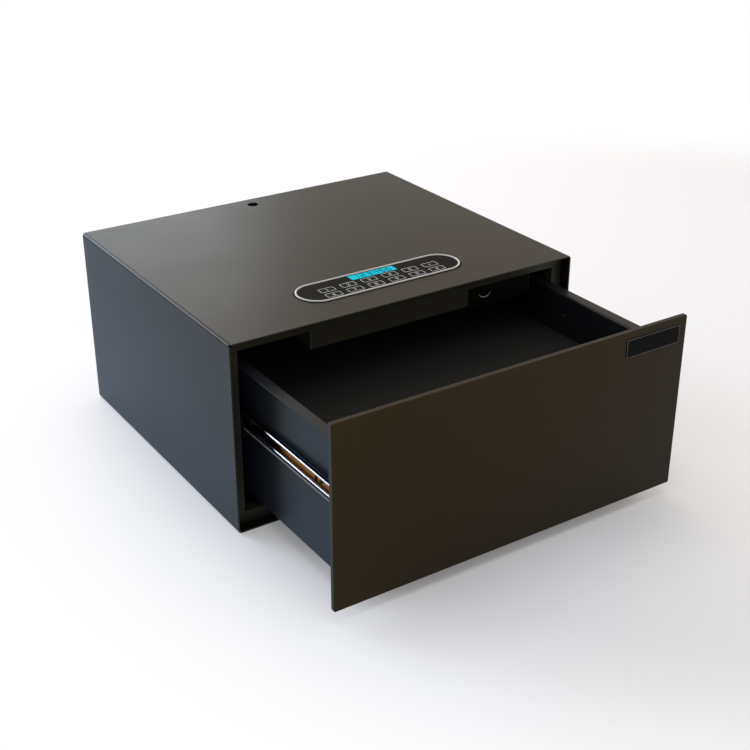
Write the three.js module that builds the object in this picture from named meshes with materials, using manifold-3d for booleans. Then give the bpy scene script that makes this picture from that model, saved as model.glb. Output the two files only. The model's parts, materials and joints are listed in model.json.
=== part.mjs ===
// Under desk drawer safe with an electronic keypad, standing with its drawer pulled out.
// Millimetres, +Z up, +Y towards the back. The cabinet's front edge is at y = 0 inside the assembly
// group, which is then moved so that the origin lies under the middle of the whole object.
import * as THREE from 'three';
import { mergeVertices } from 'three/addons/utils/BufferGeometryUtils.js';
import Module from 'manifold-3d';

const wasm = await Module();
wasm.setup();

// Cabinet: a wrapped steel sheet, a back panel let into it and a frame set back in the front
const cabinetWidth = 450;
const cabinetDepth = 385;
const cabinetHeight = 225;
const shellSheet = 2;
const shellBend = 3;
const backSheet = 2;
const frameSheet = 2;
const frameRecess = 14;
const frameBorder = 16;
const frameReturnDepth = 12;
const frameReturnSheet = 1.5;
const seatGap = 0.3;
const topHoleRadius = 7;
const topHoleFromBack = 21;
const anchorHoleRadius = 5;
const anchorInsetX = 75;
const anchorInsetY = 80;
const backAnchorHeight = 150;

// Drawer front, a plain plate that closes into the frame's recess with a finger gap under it
const drawerPulled = 191;
const closedGap = 0.5;
const frontSheet = 6;
const frontSideGap = 1;
const frontTopGap = 2;
const fingerGap = 12;
const frontCorner = 3;
const frontBevel = 0.8;
const badgeWidth = 74;
const badgeHeight = 20;
const badgeSheet = 0.8;
const badgeFromRight = 11;
const badgeFromTop = 9;

// Tray: bent sheet with rims turned outwards over the slides
const traySheet = 1.2;
const trayLength = 340;
const trayFloorRise = 11;
const trayRimDrop = 18;
const trayRimGap = 1;
const trayEndDrop = 16;
const trayBend = 2.4;
const innerFloorDrop = 49;
const innerFloorSheet = 1.5;
const innerFloorLegInset = 5;

// Telescopic slides: the drawer member runs on balls inside the cabinet member
const slideThickness = 10;
const slideSideGap = 3.5;
const slideRise = 95;
const slideSheet = 1;
const slideLength = 300;
const cabinetMemberHeight = 29;
const cabinetMemberSetback = 1;
const cabinetMemberReach = 7.8;
const drawerMemberHeight = 21;
const drawerMemberSetback = 4;
const drawerMemberReach = 6.5;
const cageSheet = 0.6;
const cageTipInset = 1.5;
const cageLength = 90;
const cageSetback = 4;
const ballClearance = 0.3;
const ballsPerArm = 6;
const bracketSheet = 1.5;
const bracketFoot = 12;
const bracketFrontGap = 1;

// Fasteners
const screwShankRadius = 2;
const screwHeadRadius = 3.8;
const screwHeadHeight = 1.6;
const screwTip = 0.8;
const rivetHeadRadius = 2.6;
const rivetHeadHeight = 0.9;
const rivetFromEnd = 40;
const rivetHole = 8;
const screwHoleLength = 6;
const slideScrewFromFront = 51.5;
const slideScrewFromBack = 107;
const sideScrewFromFront = 155;
const sideScrewDrop = 25;
const frontScrewInsetX = 60;
const frontScrewInsetZ = 25;
const frontScrewDepth = 4;

// Keypad let into the cabinet's top near its front
const keypadLength = 213;
const keypadDepth = 50.6;
const keypadFromFront = 41;
const bezelWidth = 2.7;
const bezelHeight = 1.3;
const cutoutInset = 1.2;
const keypadBodyHeight = 7.5;
const keyPlateRise = 0.8;
const keyWidth = 20.5;
const keyDepth = 12;
const keyCorner = 2;
const keyGap = 0.35;
const keyRise = 0.2;
const keyRoomBelow = 1;
const keyPitchX = 27.6;
const keyPitchY = 15;
const keyColumns = 6;
const keyRows = 2;
const firstKeyRow = 10.5;
const displayWidth = 60;
const displayDepth = 12.4;
const displayBackMargin = 4.2;
const displayWindowSheet = 1.5;
const displayModuleHeight = 2.6;
const displayModuleMargin = 2.5;
const boardSheet = 1.6;
const boardMargin = 6;

// Electronics housing and battery box, hung under the top behind the frame's apron
const housingSheet = 1.2;
const apronDrop = 21;
const apronLeft = 122;
const apronRight = 86;
const housingDepth = 88;
const keypadRoom = 1.5;
const batteryBoxWidth = 88;
const batteryBoxSheet = 2;
const batteryBoxDepth = 63;
const batteryBoxHeight = 19;
const batteryDoorSheet = 3;
const batteryDoorLip = 4;
const batteryDoorPlug = 4;
const batteryPlugWall = 1.5;
const thumbNotchRadius = 10;
const thumbNotchDepth = 1.6;
const thumbNotchFromLeft = 23.6;
const thumbNotchDrop = 4.7;
const cellRadius = 7.15;
const cellLength = 49.5;
const cellPitch = 16;
const cellCount = 4;
const cellEndGap = 1.5;
const cellNubRadius = 2.7;
const cellNubLength = 1;

// Motor driven lock: its bolt drops through the housing into a strike on the tray
const boltX = -20;
const boltFromFrame = 12;
const boltWidth = 14;
const boltDepth = 8;
const boltLength = 20;
const boltClearance = 0.5;
const boltPlay = 1.5;
const lockMotorWidth = 34;
const lockMotorDepth = 20;
const strikeWidth = 50;
const strikeLedge = 27;
const strikeSheet = 2;
const strikeLeg = 32;
const strikeBelowHousing = 4.5;

// Sizes that follow from the ones above
const halfWidth = cabinetWidth / 2;
const openingHalf = halfWidth - frameBorder;
const openingBottom = frameBorder;
const openingTop = cabinetHeight - frameBorder;
const frameBack = frameRecess + frameSheet;
const ceiling = cabinetHeight - shellSheet;
const closedTravel = drawerPulled + frameRecess - closedGap - frontSheet;
const frontBackFace = -drawerPulled + frontSheet;
const frontHalf = halfWidth - shellSheet - frontSideGap;
const frontBottom = shellSheet + fingerGap;
const frontTop = ceiling - frontTopGap;
const trayFront = frontBackFace + seatGap;
const trayBack = trayFront + trayLength;
const trayHalf = openingHalf - slideSideGap - slideThickness;
const trayInnerHalf = trayHalf - traySheet;
const trayRimHalf = openingHalf - trayRimGap;
const trayBottom = openingBottom + trayFloorRise;
const trayTop = openingTop - trayRimDrop;
const trayEndTop = trayTop - trayEndDrop;
const slideCentre = trayBottom + slideRise;
const drawerMemberFront = trayFront + drawerMemberSetback;
const apronBottom = openingTop - apronDrop;
const housingBack = frameBack + seatGap + housingDepth;
const boltY = frameBack + boltFromFrame;
const keypadCentre = keypadFromFront + keypadDepth / 2;
const keyPlateTop = cabinetHeight + keyPlateRise;
const boardTop = keyPlateTop - keypadBodyHeight - seatGap;
const boardBottom = boardTop - boardSheet;

// Finishes
const bronzePaint = { color: 0x3b3733, roughness: 0.42, metalness: 0.35 };
const blackPlastic = { color: 0x141414, roughness: 0.5, metalness: 0 };
const zincSteel = { color: 0xb9bcc2, roughness: 0.3, metalness: 0.9 };
const greyTrim = { color: 0xc4c4c0, roughness: 0.35, metalness: 0.6 };
const keyPlastic = { color: 0x242423, roughness: 0.45, metalness: 0 };
const cyanGlass = { color: 0x18d4e4, roughness: 0.15, metalness: 0 };
const greenBoard = { color: 0x1e5a35, roughness: 0.6, metalness: 0 };
const darkSteel = { color: 0x55585c, roughness: 0.4, metalness: 0.8 };
const cellJacket = { color: 0x2f4a66, roughness: 0.4, metalness: 0.3 };

const assembly = new THREE.Group();

// Turns a closed geometry into a solid that can be joined and cut
function solid(geometry) {
  const bare = geometry.index ? geometry.toNonIndexed() : geometry.clone();
  bare.deleteAttribute('normal');
  bare.deleteAttribute('uv');
  const merged = mergeVertices(bare, 1e-4);
  return new wasm.Manifold(new wasm.Mesh({
    numProp: 3,
    vertProperties: new Float32Array(merged.attributes.position.array),
    triVerts: new Uint32Array(merged.index.array),
  }));
}

// Turns a joined or cut solid back into a geometry
function geometryOf(body) {
  const data = body.getMesh();
  const geometry = new THREE.BufferGeometry();
  geometry.setAttribute('position', new THREE.BufferAttribute(data.vertProperties, 3));
  geometry.setIndex(new THREE.BufferAttribute(data.triVerts, 1));
  geometry.computeVertexNormals();
  return geometry;
}

function join(...bodies) {
  return bodies.reduce((whole, body) => whole.add(body));
}

function cut(body, ...tools) {
  return tools.reduce((rest, tool) => rest.subtract(tool), body);
}

// Puts one named piece into the assembly
function addPiece(name, shape, finish) {
  const geometry = shape.isBufferGeometry ? shape : geometryOf(shape);
  const piece = new THREE.Mesh(geometry, new THREE.MeshStandardMaterial(finish));
  piece.name = name;
  assembly.add(piece);
  return piece;
}

// A block between two corners
function block(low, high) {
  const size = high.map((value, axis) => value - low[axis]);
  const geometry = new THREE.BoxGeometry(...size);
  geometry.translate(...low.map((value, axis) => value + size[axis] / 2));
  return solid(geometry);
}

// A round bar along an axis that starts at a point and runs in the axis's positive direction
function bar(axis, start, radius, length, sides = 20) {
  const geometry = new THREE.CylinderGeometry(radius, radius, length, sides);
  geometry.translate(0, length / 2, 0);
  if (axis === 'z') geometry.rotateX(Math.PI / 2);
  if (axis === 'x') geometry.rotateZ(-Math.PI / 2);
  geometry.translate(...start);
  return solid(geometry);
}

// A rectangle with round corners, as a shape or as a hole's path
function roundedRectangle(target, left, bottom, right, top, radius) {
  target.moveTo(left + radius, bottom);
  target.lineTo(right - radius, bottom);
  target.absarc(right - radius, bottom + radius, radius, -Math.PI / 2, 0);
  target.lineTo(right, top - radius);
  target.absarc(right - radius, top - radius, radius, 0, Math.PI / 2);
  target.lineTo(left + radius, top);
  target.absarc(left + radius, top - radius, radius, Math.PI / 2, Math.PI);
  target.lineTo(left, bottom + radius);
  target.absarc(left + radius, bottom + radius, radius, Math.PI, Math.PI * 1.5);
  return target;
}

// A section drawn in x and z, carried along y between two places
function alongY(section, near, far, options = {}) {
  const bevel = options.bevelThickness ?? 0;
  const depth = far - near - 2 * bevel;
  const geometry = new THREE.ExtrudeGeometry(section, {
    depth, bevelEnabled: bevel > 0, curveSegments: 4, bevelSegments: 2, ...options,
  });
  geometry.rotateX(Math.PI / 2);
  geometry.translate(0, far - bevel, 0);
  return solid(geometry);
}

// A plan drawn in x and y, raised between two heights
function alongZ(plan, low, high, curveSegments = 14) {
  const geometry = new THREE.ExtrudeGeometry(plan, {
    depth: high - low, bevelEnabled: false, curveSegments,
  });
  geometry.translate(0, 0, low);
  return solid(geometry);
}

// The keypad's plan: a rectangle with full round ends, drawn in from its outer size
function keypadPlan(target, inset) {
  const halfLength = keypadLength / 2 - inset;
  const halfDepth = keypadDepth / 2 - inset;
  const corner = halfDepth - 0.01;
  return roundedRectangle(target, -halfLength, keypadCentre - halfDepth,
    halfLength, keypadCentre + halfDepth, corner);
}

// A closed section through its corners
function cornerSection(corners) {
  const section = new THREE.Shape();
  section.setFromPoints(corners.map(([x, z]) => new THREE.Vector2(x, z)));
  section.closePath();
  return section;
}

// Cabinet
function addCabinet() {
  const wrap = roundedRectangle(new THREE.Shape(), -halfWidth, 0, halfWidth, cabinetHeight, shellBend);
  wrap.holes.push(roundedRectangle(new THREE.Path(), -halfWidth + shellSheet, shellSheet,
    halfWidth - shellSheet, ceiling, shellBend - shellSheet));
  const through = 3 * shellSheet;
  const keypadCutout = alongZ(keypadPlan(new THREE.Shape(), cutoutInset),
    ceiling - shellSheet, cabinetHeight + shellSheet);
  const topHole = bar('z', [0, cabinetDepth - topHoleFromBack, ceiling - shellSheet],
    topHoleRadius, through, 28);
  const anchors = [];
  for (const side of [-1, 1]) {
    for (const y of [anchorInsetY, cabinetDepth - anchorInsetY]) {
      anchors.push(bar('z', [side * (halfWidth - anchorInsetX), y, -shellSheet], anchorHoleRadius, through));
    }
  }
  const shell = cut(alongY(wrap, 0, cabinetDepth), keypadCutout, topHole, ...anchors);
  addPiece('outer_shell', shell, bronzePaint);

  const backInset = shellSheet + seatGap;
  const backSection = roundedRectangle(new THREE.Shape(), -halfWidth + backInset, backInset,
    halfWidth - backInset, cabinetHeight - backInset, shellBend - shellSheet);
  const backFront = cabinetDepth - backSheet;
  const backHoles = [-1, 1].map((side) => bar('y',
    [side * (halfWidth - anchorInsetX), backFront - backSheet, backAnchorHeight],
    anchorHoleRadius, 3 * backSheet));
  addPiece('back_panel', cut(alongY(backSection, backFront, cabinetDepth), ...backHoles), bronzePaint);
}

// The set back frame: a border round the opening, its edge folded back, and an apron below its top
function addFrontFrame() {
  const inset = shellSheet + seatGap;
  const border = roundedRectangle(new THREE.Shape(), -halfWidth + inset, inset,
    halfWidth - inset, cabinetHeight - inset, shellBend - shellSheet);
  const plate = alongY(border, frameRecess, frameBack);
  const opening = block([-openingHalf, frameRecess - 1, openingBottom],
    [openingHalf, frameBack + frameReturnDepth + 1, openingTop]);
  const returnBlock = block(
    [-openingHalf - frameReturnSheet, frameRecess, openingBottom - frameReturnSheet],
    [openingHalf + frameReturnSheet, frameBack + frameReturnDepth, openingTop + frameReturnSheet]);
  const apron = block([-apronLeft, frameRecess, apronBottom], [apronRight, frameBack, openingTop + 1]);
  const topReturn = block([-apronLeft - housingSheet, frameBack, openingTop - 1],
    [apronRight + batteryBoxWidth + housingSheet, frameBack + frameReturnDepth + 1, ceiling]);
  addPiece('front_frame', cut(join(cut(join(plate, returnBlock), opening), apron), topReturn), bronzePaint);
}

// Housing behind the apron, open at its top and front
function addHousing() {
  const left = -apronLeft;
  const front = frameBack + seatGap;
  const top = ceiling - seatGap;
  const outside = block([left, front, apronBottom], [apronRight, housingBack, top]);
  const inside = block([left + housingSheet, front - 1, apronBottom + housingSheet],
    [apronRight - housingSheet, housingBack - housingSheet, top + 1]);
  const boltSlot = block(
    [boltX - boltWidth / 2 - boltClearance, boltY - boltDepth / 2 - boltClearance, apronBottom - 1],
    [boltX + boltWidth / 2 + boltClearance, boltY + boltDepth / 2 + boltClearance,
      apronBottom + housingSheet + 1]);
  const keypadSpace = alongZ(keypadPlan(new THREE.Shape(), 0), boardBottom - keypadRoom, top + 1);
  addPiece('electronics_housing', cut(outside, inside, boltSlot, keypadSpace), bronzePaint);
}

// Battery box with its cells and the clip-on door with a thumb notch
function addBatteries() {
  const left = apronRight + seatGap;
  const right = left + batteryBoxWidth;
  const doorBack = frameRecess + batteryDoorSheet;
  const front = doorBack + seatGap;
  const back = front + batteryBoxDepth;
  const top = apronBottom + batteryBoxHeight;
  const outside = block([left, front, apronBottom], [right, back, top]);
  const inside = block([left + batteryBoxSheet, front - 1, apronBottom + batteryBoxSheet],
    [right - batteryBoxSheet, back - batteryBoxSheet, top - batteryBoxSheet]);
  addPiece('battery_box', cut(outside, inside), blackPlastic);

  const doorBottom = apronBottom - batteryDoorLip;
  const door = block([left, frameRecess, doorBottom], [right, doorBack, openingTop - seatGap]);
  const notchZ = openingTop - thumbNotchDrop;
  const notchRound = bar('y', [left + thumbNotchFromLeft, frameRecess - 1, notchZ],
    thumbNotchRadius, thumbNotchDepth + 1, 28);
  const notchHalf = block([left, frameRecess - 2, doorBottom], [right, doorBack, notchZ]);
  const plugInset = batteryBoxSheet + seatGap;
  const hollowInset = plugInset + batteryPlugWall;
  const plugBack = doorBack + batteryDoorPlug;
  const plug = block([left + plugInset, doorBack - batteryDoorSheet / 2, apronBottom + plugInset],
    [right - plugInset, plugBack, top - plugInset]);
  const plugHollow = block([left + hollowInset, doorBack, apronBottom + hollowInset],
    [right - hollowInset, plugBack + 1, top - hollowInset]);
  const cover = join(cut(door, notchRound.intersect(notchHalf)), plug);
  addPiece('battery_door', cut(cover, plugHollow), blackPlastic);

  const middle = (left + right) / 2;
  const cellZ = apronBottom + batteryBoxSheet + seatGap + cellRadius;
  for (let index = 0; index < cellCount; index += 1) {
    const x = middle + (index - (cellCount - 1) / 2) * cellPitch;
    const nubAtFront = index % 2 === 0;
    const bodyFront = plugBack + cellEndGap + (nubAtFront ? cellNubLength : 0);
    const can = bar('y', [x, bodyFront, cellZ], cellRadius, cellLength, 20);
    const nubFront = nubAtFront ? bodyFront - cellNubLength : bodyFront + cellLength - 1;
    const nub = bar('y', [x, nubFront, cellZ], cellNubRadius, cellNubLength + 1, 12);
    addPiece(`battery_cell_${index + 1}`, join(can, nub), cellJacket);
  }
}

// Keypad: bezel, body with its pockets, keys, display and circuit board
function addKeypad() {
  const bezel = keypadPlan(new THREE.Shape(), 0);
  bezel.holes.push(keypadPlan(new THREE.Path(), bezelWidth));
  addPiece('keypad_bezel', alongZ(bezel, cabinetHeight + seatGap, cabinetHeight + seatGap + bezelHeight),
    greyTrim);

  const bodyLow = keyPlateTop - keypadBodyHeight;
  const face = alongZ(keypadPlan(new THREE.Shape(), bezelWidth + seatGap), bodyLow, keyPlateTop);
  const neck = alongZ(keypadPlan(new THREE.Shape(), cutoutInset + seatGap), bodyLow, cabinetHeight);
  const keyLow = boardTop + keyRoomBelow;
  const pockets = [];
  for (const [x, y] of keyPlaces()) {
    pockets.push(keyBlock(x, y, keyGap, bodyLow - 1, keyPlateTop + 1));
  }
  const displayY = keypadFromFront + keypadDepth - displayBackMargin - displayDepth;
  const windowLow = keyPlateTop - displayWindowSheet;
  const moduleTop = windowLow - seatGap;
  const moduleLow = moduleTop - displayModuleHeight;
  const windowPocket = block([-displayWidth / 2 - seatGap, displayY - seatGap, moduleTop - 1],
    [displayWidth / 2 + seatGap, displayY + displayDepth + seatGap, keyPlateTop + 1]);
  const moduleHalf = displayWidth / 2 + displayModuleMargin;
  const moduleFront = displayY - seatGap;
  const moduleBack = displayY + displayDepth + seatGap;
  const modulePocket = block([-moduleHalf - seatGap, moduleFront - seatGap, bodyLow - 1],
    [moduleHalf + seatGap, moduleBack + seatGap, moduleTop]);
  addPiece('keypad_body', cut(join(face, neck), ...pockets, windowPocket, modulePocket), blackPlastic);

  addPiece('display_window', block([-displayWidth / 2, displayY, windowLow],
    [displayWidth / 2, displayY + displayDepth, keyPlateTop]), cyanGlass);
  addPiece('display_module', block([-moduleHalf, moduleFront, moduleLow],
    [moduleHalf, moduleBack, moduleTop]), darkSteel);

  const boardHalf = keypadLength / 2 - boardMargin;
  addPiece('keypad_board', block([-boardHalf, keypadFromFront + boardMargin, boardBottom],
    [boardHalf, keypadFromFront + keypadDepth - boardMargin, boardTop]), greenBoard);

  const keyNames = ['1', '2', '3', '4', '5', 'star', '6', '7', '8', '9', '0', 'hash'];
  keyPlaces().forEach(([x, y], index) => {
    addPiece(`key_${keyNames[index]}`, keyBlock(x, y, 0, keyLow, keyPlateTop + keyRise), keyPlastic);
  });
}

// Centres of the keys, the back row first, each row from left to right
function keyPlaces() {
  const places = [];
  for (let row = keyRows - 1; row >= 0; row -= 1) {
    for (let column = 0; column < keyColumns; column += 1) {
      places.push([(column - (keyColumns - 1) / 2) * keyPitchX,
        keypadFromFront + firstKeyRow + row * keyPitchY]);
    }
  }
  return places;
}

// A key, or its pocket when it is grown by a gap
function keyBlock(x, y, grow, low, high) {
  const halfX = keyWidth / 2 + grow;
  const halfY = keyDepth / 2 + grow;
  return alongZ(roundedRectangle(new THREE.Shape(), x - halfX, y - halfY, x + halfX, y + halfY,
    keyCorner + grow), low, high, 3);
}

// Lock: motor block, bolt drawn up inside it, and the strike that it drops into
function addLock() {
  const boltLow = apronBottom + boltClearance;
  const boltHigh = boltLow + boltLength;
  const motorLow = apronBottom + housingSheet + seatGap;
  const motor = block([boltX - lockMotorWidth / 2, boltY - lockMotorDepth / 2, motorLow],
    [boltX + lockMotorWidth / 2, boltY + lockMotorDepth / 2, ceiling - seatGap]);
  const bore = block(
    [boltX - boltWidth / 2 - boltClearance, boltY - boltDepth / 2 - boltClearance, motorLow - 1],
    [boltX + boltWidth / 2 + boltClearance, boltY + boltDepth / 2 + boltClearance,
      boltHigh + boltClearance]);
  addPiece('lock_motor', cut(motor, bore), darkSteel);
  addPiece('lock_bolt', block([boltX - boltWidth / 2, boltY - boltDepth / 2, boltLow],
    [boltX + boltWidth / 2, boltY + boltDepth / 2, boltHigh]), zincSteel);

  const strikeTop = apronBottom - strikeBelowHousing;
  const strikeFront = trayFront + traySheet + seatGap;
  const slotY = boltY - closedTravel;
  const leg = block([boltX - strikeWidth / 2, strikeFront, strikeTop - strikeLeg],
    [boltX + strikeWidth / 2, strikeFront + strikeSheet, strikeTop]);
  const ledge = block([boltX - strikeWidth / 2, strikeFront, strikeTop - strikeSheet],
    [boltX + strikeWidth / 2, strikeFront + strikeLedge, strikeTop]);
  const slot = block(
    [boltX - boltWidth / 2 - boltPlay, slotY - boltDepth / 2 - boltPlay, strikeTop - strikeSheet - 1],
    [boltX + boltWidth / 2 + boltPlay, slotY + boltDepth / 2 + boltPlay, strikeTop + 1]);
  addPiece('strike_plate', cut(join(leg, ledge), slot), zincSteel);
}

// Places of the screws that hold a drawer member to its tray wall, along y
function slideScrewPlaces() {
  return [drawerMemberFront + slideScrewFromFront,
    drawerMemberFront + slideLength - slideScrewFromBack];
}

// Places of the screws that hold the drawer front, as x and z
function frontScrewPlaces() {
  const x = trayHalf - frontScrewInsetX;
  return [[-x, trayBottom + frontScrewInsetZ], [x, trayBottom + frontScrewInsetZ],
    [-x, trayEndTop - frontScrewInsetZ], [x, trayEndTop - frontScrewInsetZ]];
}

// A hole for a screw's shank along an axis, centred on a place
function screwHole(axis, place, length) {
  const start = [...place];
  start[{ x: 0, y: 1 }[axis]] -= length / 2;
  return bar(axis, start, screwShankRadius + seatGap, length, 12);
}

// Tray: floor and sides from one bent sheet, with lower walls at both ends
function addTray() {
  const arc = trayBend;
  const inner = trayBend - traySheet;
  const section = new THREE.Shape();
  section.moveTo(-trayHalf + arc, trayBottom);
  section.lineTo(trayHalf - arc, trayBottom);
  section.absarc(trayHalf - arc, trayBottom + arc, arc, -Math.PI / 2, 0);
  section.lineTo(trayHalf, trayTop - traySheet);
  section.lineTo(trayRimHalf, trayTop - traySheet);
  section.lineTo(trayRimHalf, trayTop);
  section.lineTo(trayHalf, trayTop);
  section.absarc(trayHalf, trayTop - traySheet, traySheet, Math.PI / 2, Math.PI);
  section.lineTo(trayInnerHalf, trayBottom + arc);
  section.absarc(trayInnerHalf - inner, trayBottom + arc, inner, 0, -Math.PI / 2, true);
  section.lineTo(-trayInnerHalf + inner, trayBottom + traySheet);
  section.absarc(-trayInnerHalf + inner, trayBottom + arc, inner, -Math.PI / 2, -Math.PI, true);
  section.lineTo(-trayInnerHalf, trayTop - traySheet);
  section.absarc(-trayHalf, trayTop - traySheet, traySheet, 0, Math.PI / 2);
  section.lineTo(-trayRimHalf, trayTop);
  section.lineTo(-trayRimHalf, trayTop - traySheet);
  section.lineTo(-trayHalf, trayTop - traySheet);
  section.lineTo(-trayHalf, trayBottom + arc);
  section.absarc(-trayHalf + arc, trayBottom + arc, arc, Math.PI, Math.PI * 1.5);
  const sides = alongY(section, trayFront, trayBack, { curveSegments: 3 });
  const ends = [trayFront, trayBack - traySheet].map((y) => block(
    [-trayInnerHalf - traySheet / 2, y, trayBottom + traySheet / 2],
    [trayInnerHalf + traySheet / 2, y + traySheet, trayEndTop]));
  const holes = [];
  for (const side of [-1, 1]) {
    for (const y of slideScrewPlaces()) {
      holes.push(screwHole('x', [side * trayHalf, y, slideCentre], screwHoleLength));
    }
  }
  holes.push(screwHole('x', [trayHalf, trayFront + sideScrewFromFront, trayTop - sideScrewDrop],
    screwHoleLength));
  for (const [x, z] of frontScrewPlaces()) holes.push(screwHole('y', [x, trayFront, z], screwHoleLength));
  addPiece('drawer_tray', cut(join(sides, ...ends), ...holes), bronzePaint);
}

// Raised inner floor: a plate that stands on four folded down legs on the tray's floor
function addInnerFloor() {
  const half = trayInnerHalf - seatGap;
  const front = trayFront + traySheet + seatGap;
  const back = trayBack - traySheet - seatGap;
  const low = trayBottom + traySheet + seatGap;
  const top = trayTop - innerFloorDrop;
  const legHalf = half - innerFloorLegInset;
  const legFront = front + innerFloorLegInset;
  const legBack = back - innerFloorLegInset;
  const under = top - innerFloorSheet;
  const plate = block([-half, front, under], [half, back, top]);
  const skirt = block([-legHalf, legFront, low], [legHalf, legBack, top - innerFloorSheet / 2]);
  const hollow = block([-legHalf + innerFloorSheet, legFront + innerFloorSheet, low - 1],
    [legHalf - innerFloorSheet, legBack - innerFloorSheet, under]);
  addPiece('inner_floor', join(plate, cut(skirt, hollow)), bronzePaint);
}

// Drawer front with its bare badge plate
function addDrawerFront() {
  const section = roundedRectangle(new THREE.Shape(), -frontHalf + frontBevel, frontBottom + frontBevel,
    frontHalf - frontBevel, frontTop - frontBevel, frontCorner);
  const plate = alongY(section, -drawerPulled, frontBackFace,
    { bevelThickness: frontBevel, bevelSize: frontBevel });
  const holes = frontScrewPlaces().map(([x, z]) => bar('y',
    [x, frontBackFace - frontScrewDepth - seatGap, z],
    screwShankRadius + seatGap, frontScrewDepth + 2, 12));
  addPiece('drawer_front', cut(plate, ...holes), bronzePaint);

  const right = frontHalf - badgeFromRight;
  const top = frontTop - badgeFromTop;
  const badge = roundedRectangle(new THREE.Shape(), right - badgeWidth, top - badgeHeight, right, top, 1);
  addPiece('badge_plate', alongY(badge, -drawerPulled - seatGap - badgeSheet, -drawerPulled - seatGap),
    blackPlastic);
}

// A channel section: a web standing at an offset from the tray wall, its flanges reaching along u
function channelSection(side, webNear, webSheet, flangeTip, height, flangeSheet) {
  const at = (u) => side * (trayHalf + u);
  const half = height / 2;
  const webFar = flangeTip > webNear ? webNear : webNear + webSheet;
  const webInner = flangeTip > webNear ? webNear + webSheet : webNear;
  return cornerSection([
    [at(webFar), slideCentre - half], [at(flangeTip), slideCentre - half],
    [at(flangeTip), slideCentre - half + flangeSheet], [at(webInner), slideCentre - half + flangeSheet],
    [at(webInner), slideCentre + half - flangeSheet], [at(flangeTip), slideCentre + half - flangeSheet],
    [at(flangeTip), slideCentre + half], [at(webFar), slideCentre + half],
  ]);
}

// One slide with its bracket, two members and the ball cage between them
function addSlide(side, sideName) {
  const front = frameBack + cabinetMemberSetback;
  const back = front + slideLength;
  const cabinetWeb = slideThickness - slideSheet;
  const cabinetTip = slideThickness - cabinetMemberReach;
  const drawerTip = seatGap + drawerMemberReach;
  const at = (u) => side * (trayHalf + u);
  const rivetPlaces = [front + rivetFromEnd, back - rivetFromEnd];
  const rivetHoles = rivetPlaces.map((y) => screwHole('x', [at(slideThickness), y, slideCentre], rivetHole));
  const cabinetMember = alongY(channelSection(side, cabinetWeb, slideSheet, cabinetTip,
    cabinetMemberHeight, slideSheet), front, back);
  addPiece(`cabinet_member_${sideName}`, cut(cabinetMember, ...rivetHoles), zincSteel);

  const drawerMember = alongY(channelSection(side, seatGap, slideSheet, drawerTip,
    drawerMemberHeight, slideSheet), drawerMemberFront, drawerMemberFront + slideLength);
  const webHoles = slideScrewPlaces().map((y) => screwHole('x', [at(seatGap), y, slideCentre],
    screwHoleLength));
  addPiece(`drawer_member_${sideName}`, cut(drawerMember, ...webHoles), zincSteel);

  const gap = (cabinetMemberHeight / 2 - slideSheet) - drawerMemberHeight / 2;
  addCage(side, `ball_cage_${sideName}`, {
    gap, arm: drawerMemberHeight / 2 + gap / 2, web: (drawerTip + cabinetWeb - cageSheet) / 2,
    tip: cabinetTip + cageTipInset, front: front + cageSetback,
  });

  addBracket(side, sideName, rivetPlaces, back);
  const bracketFace = slideThickness + seatGap + bracketSheet;
  rivetPlaces.forEach((y, index) => {
    addScrew(`slide_rivet_${sideName}_${index ? 'back' : 'front'}`, 'x', [at(bracketFace), y, slideCentre],
      side, bracketFace - cabinetWeb, rivetHeadRadius, rivetHeadHeight);
  });
  const screwFace = seatGap + slideSheet;
  slideScrewPlaces().forEach((y, index) => {
    addScrew(`slide_screw_${sideName}_${index ? 'back' : 'front'}`, 'x', [at(screwFace), y, slideCentre],
      side, traySheet + screwFace + screwTip);
  });
}

// A ball cage: a thin channel with balls held along both of its arms
function addCage(side, name, cage) {
  const at = (u) => side * (trayHalf + u);
  const height = 2 * cage.arm + cageSheet;
  const channel = alongY(channelSection(side, cage.web, cageSheet, cage.tip, height, cageSheet),
    cage.front, cage.front + cageLength);
  const balls = [];
  const pitch = cageLength / ballsPerArm;
  for (let index = 0; index < ballsPerArm; index += 1) {
    for (const arm of [-1, 1]) {
      const ball = new THREE.SphereGeometry(cage.gap / 2 - ballClearance, 8, 6);
      ball.translate(at((cage.web + cage.tip) / 2), cage.front + (index + 0.5) * pitch,
        slideCentre + arm * cage.arm);
      balls.push(solid(ball));
    }
  }
  addPiece(name, join(channel, ...balls), zincSteel);
}

// A hat shaped bracket that carries the cabinet member off the cabinet's side
function addBracket(side, sideName, rivetPlaces, back) {
  const near = trayHalf + slideThickness + seatGap;
  const far = halfWidth - shellSheet - seatGap;
  const front = frameBack + frameReturnDepth + bracketFrontGap;
  const web = cabinetMemberHeight / 2;
  const foot = web + bracketFoot;
  const inner = web - bracketSheet;
  const nearInside = near + bracketSheet;
  const farInside = far - bracketSheet;
  const points = [[near, web], [near, -web], [farInside, -web], [farInside, -foot], [far, -foot],
    [far, -inner], [nearInside, -inner], [nearInside, inner], [far, inner], [far, foot],
    [farInside, foot], [farInside, web]];
  const section = cornerSection(points.map(([x, z]) => [side * x, slideCentre + z]));
  const holes = rivetPlaces.map((y) => screwHole('x', [side * near, y, slideCentre], rivetHole));
  addPiece(`slide_bracket_${sideName}`, cut(alongY(section, front, back), ...holes), zincSteel);
}

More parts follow.
